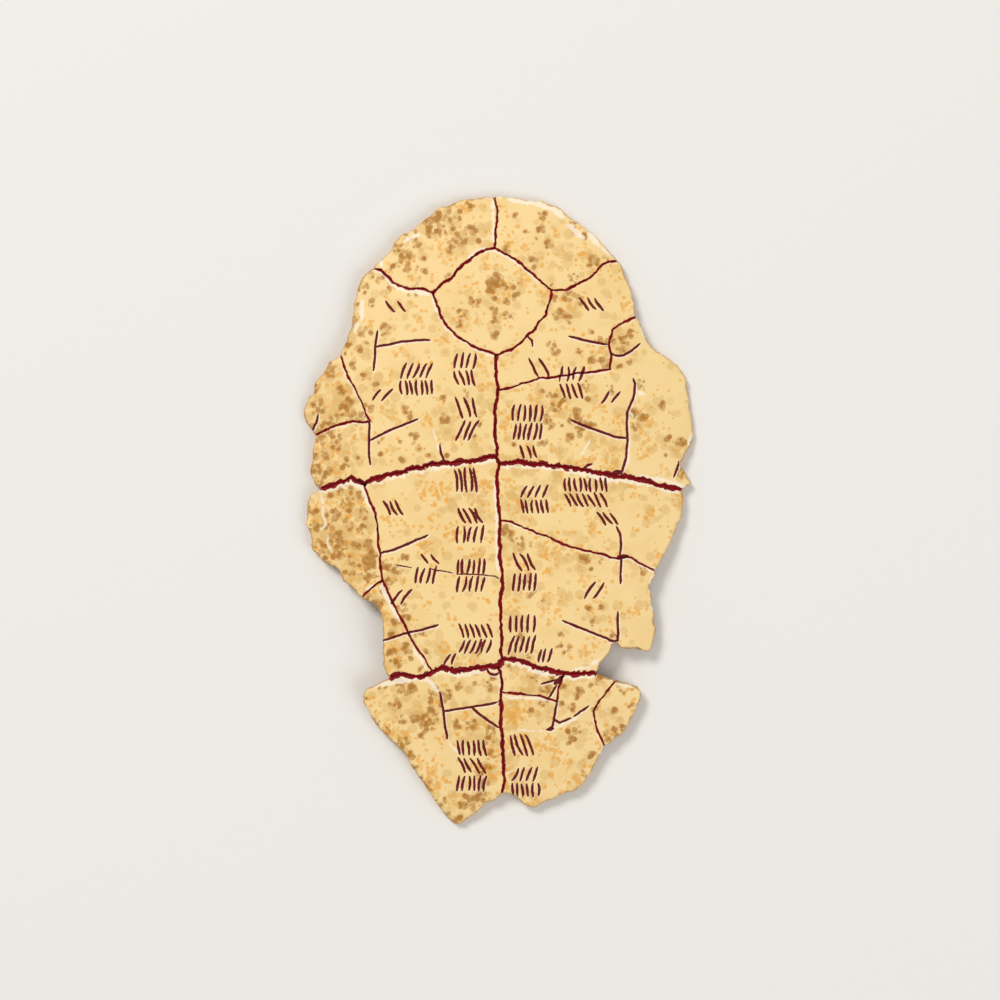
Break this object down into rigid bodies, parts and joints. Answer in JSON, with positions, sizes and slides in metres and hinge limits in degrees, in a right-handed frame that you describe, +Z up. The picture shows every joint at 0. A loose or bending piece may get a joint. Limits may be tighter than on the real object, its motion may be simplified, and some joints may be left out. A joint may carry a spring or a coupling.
{
  "type": "turtle plastron oracle bone",
  "caption": "Cracked turtle belly shell used for divination, lying flat with its marked face up, with rows of shallow strokes, branching cracks and hollows underneath.",
  "frame": {"origin": "centre of the bounding box at its base, on the surface the plastron lies on", "axes": "+Z up out of the inscribed outer face, +Y towards the head end, +X to the right seen from above"},
  "size_m": [0.1366, 0.22, 0.0119],
  "materials": {
    "bone": "matte aged bone"
  },
  "bodies": {
    "root": {"epiplastron_left": "bone", "epiplastron_right": "bone", "entoplastron": "bone", "hyoplastron_left": "bone", "hyoplastron_left_bridge": "bone", "hyoplastron_right_upper": "bone", "hyoplastron_right_lower": "bone", "hypoplastron_left": "bone", "hypoplastron_left_bridge": "bone", "hypoplastron_left_flank": "bone", "hypoplastron_right_upper": "bone", "hypoplastron_right_lower": "bone", "xiphiplastron_left": "bone", "xiphiplastron_right": "bone", "xiphiplastron_right_corner": "bone", "xiphiplastron_right_tip": "bone"}
  },
  "joints": []
}
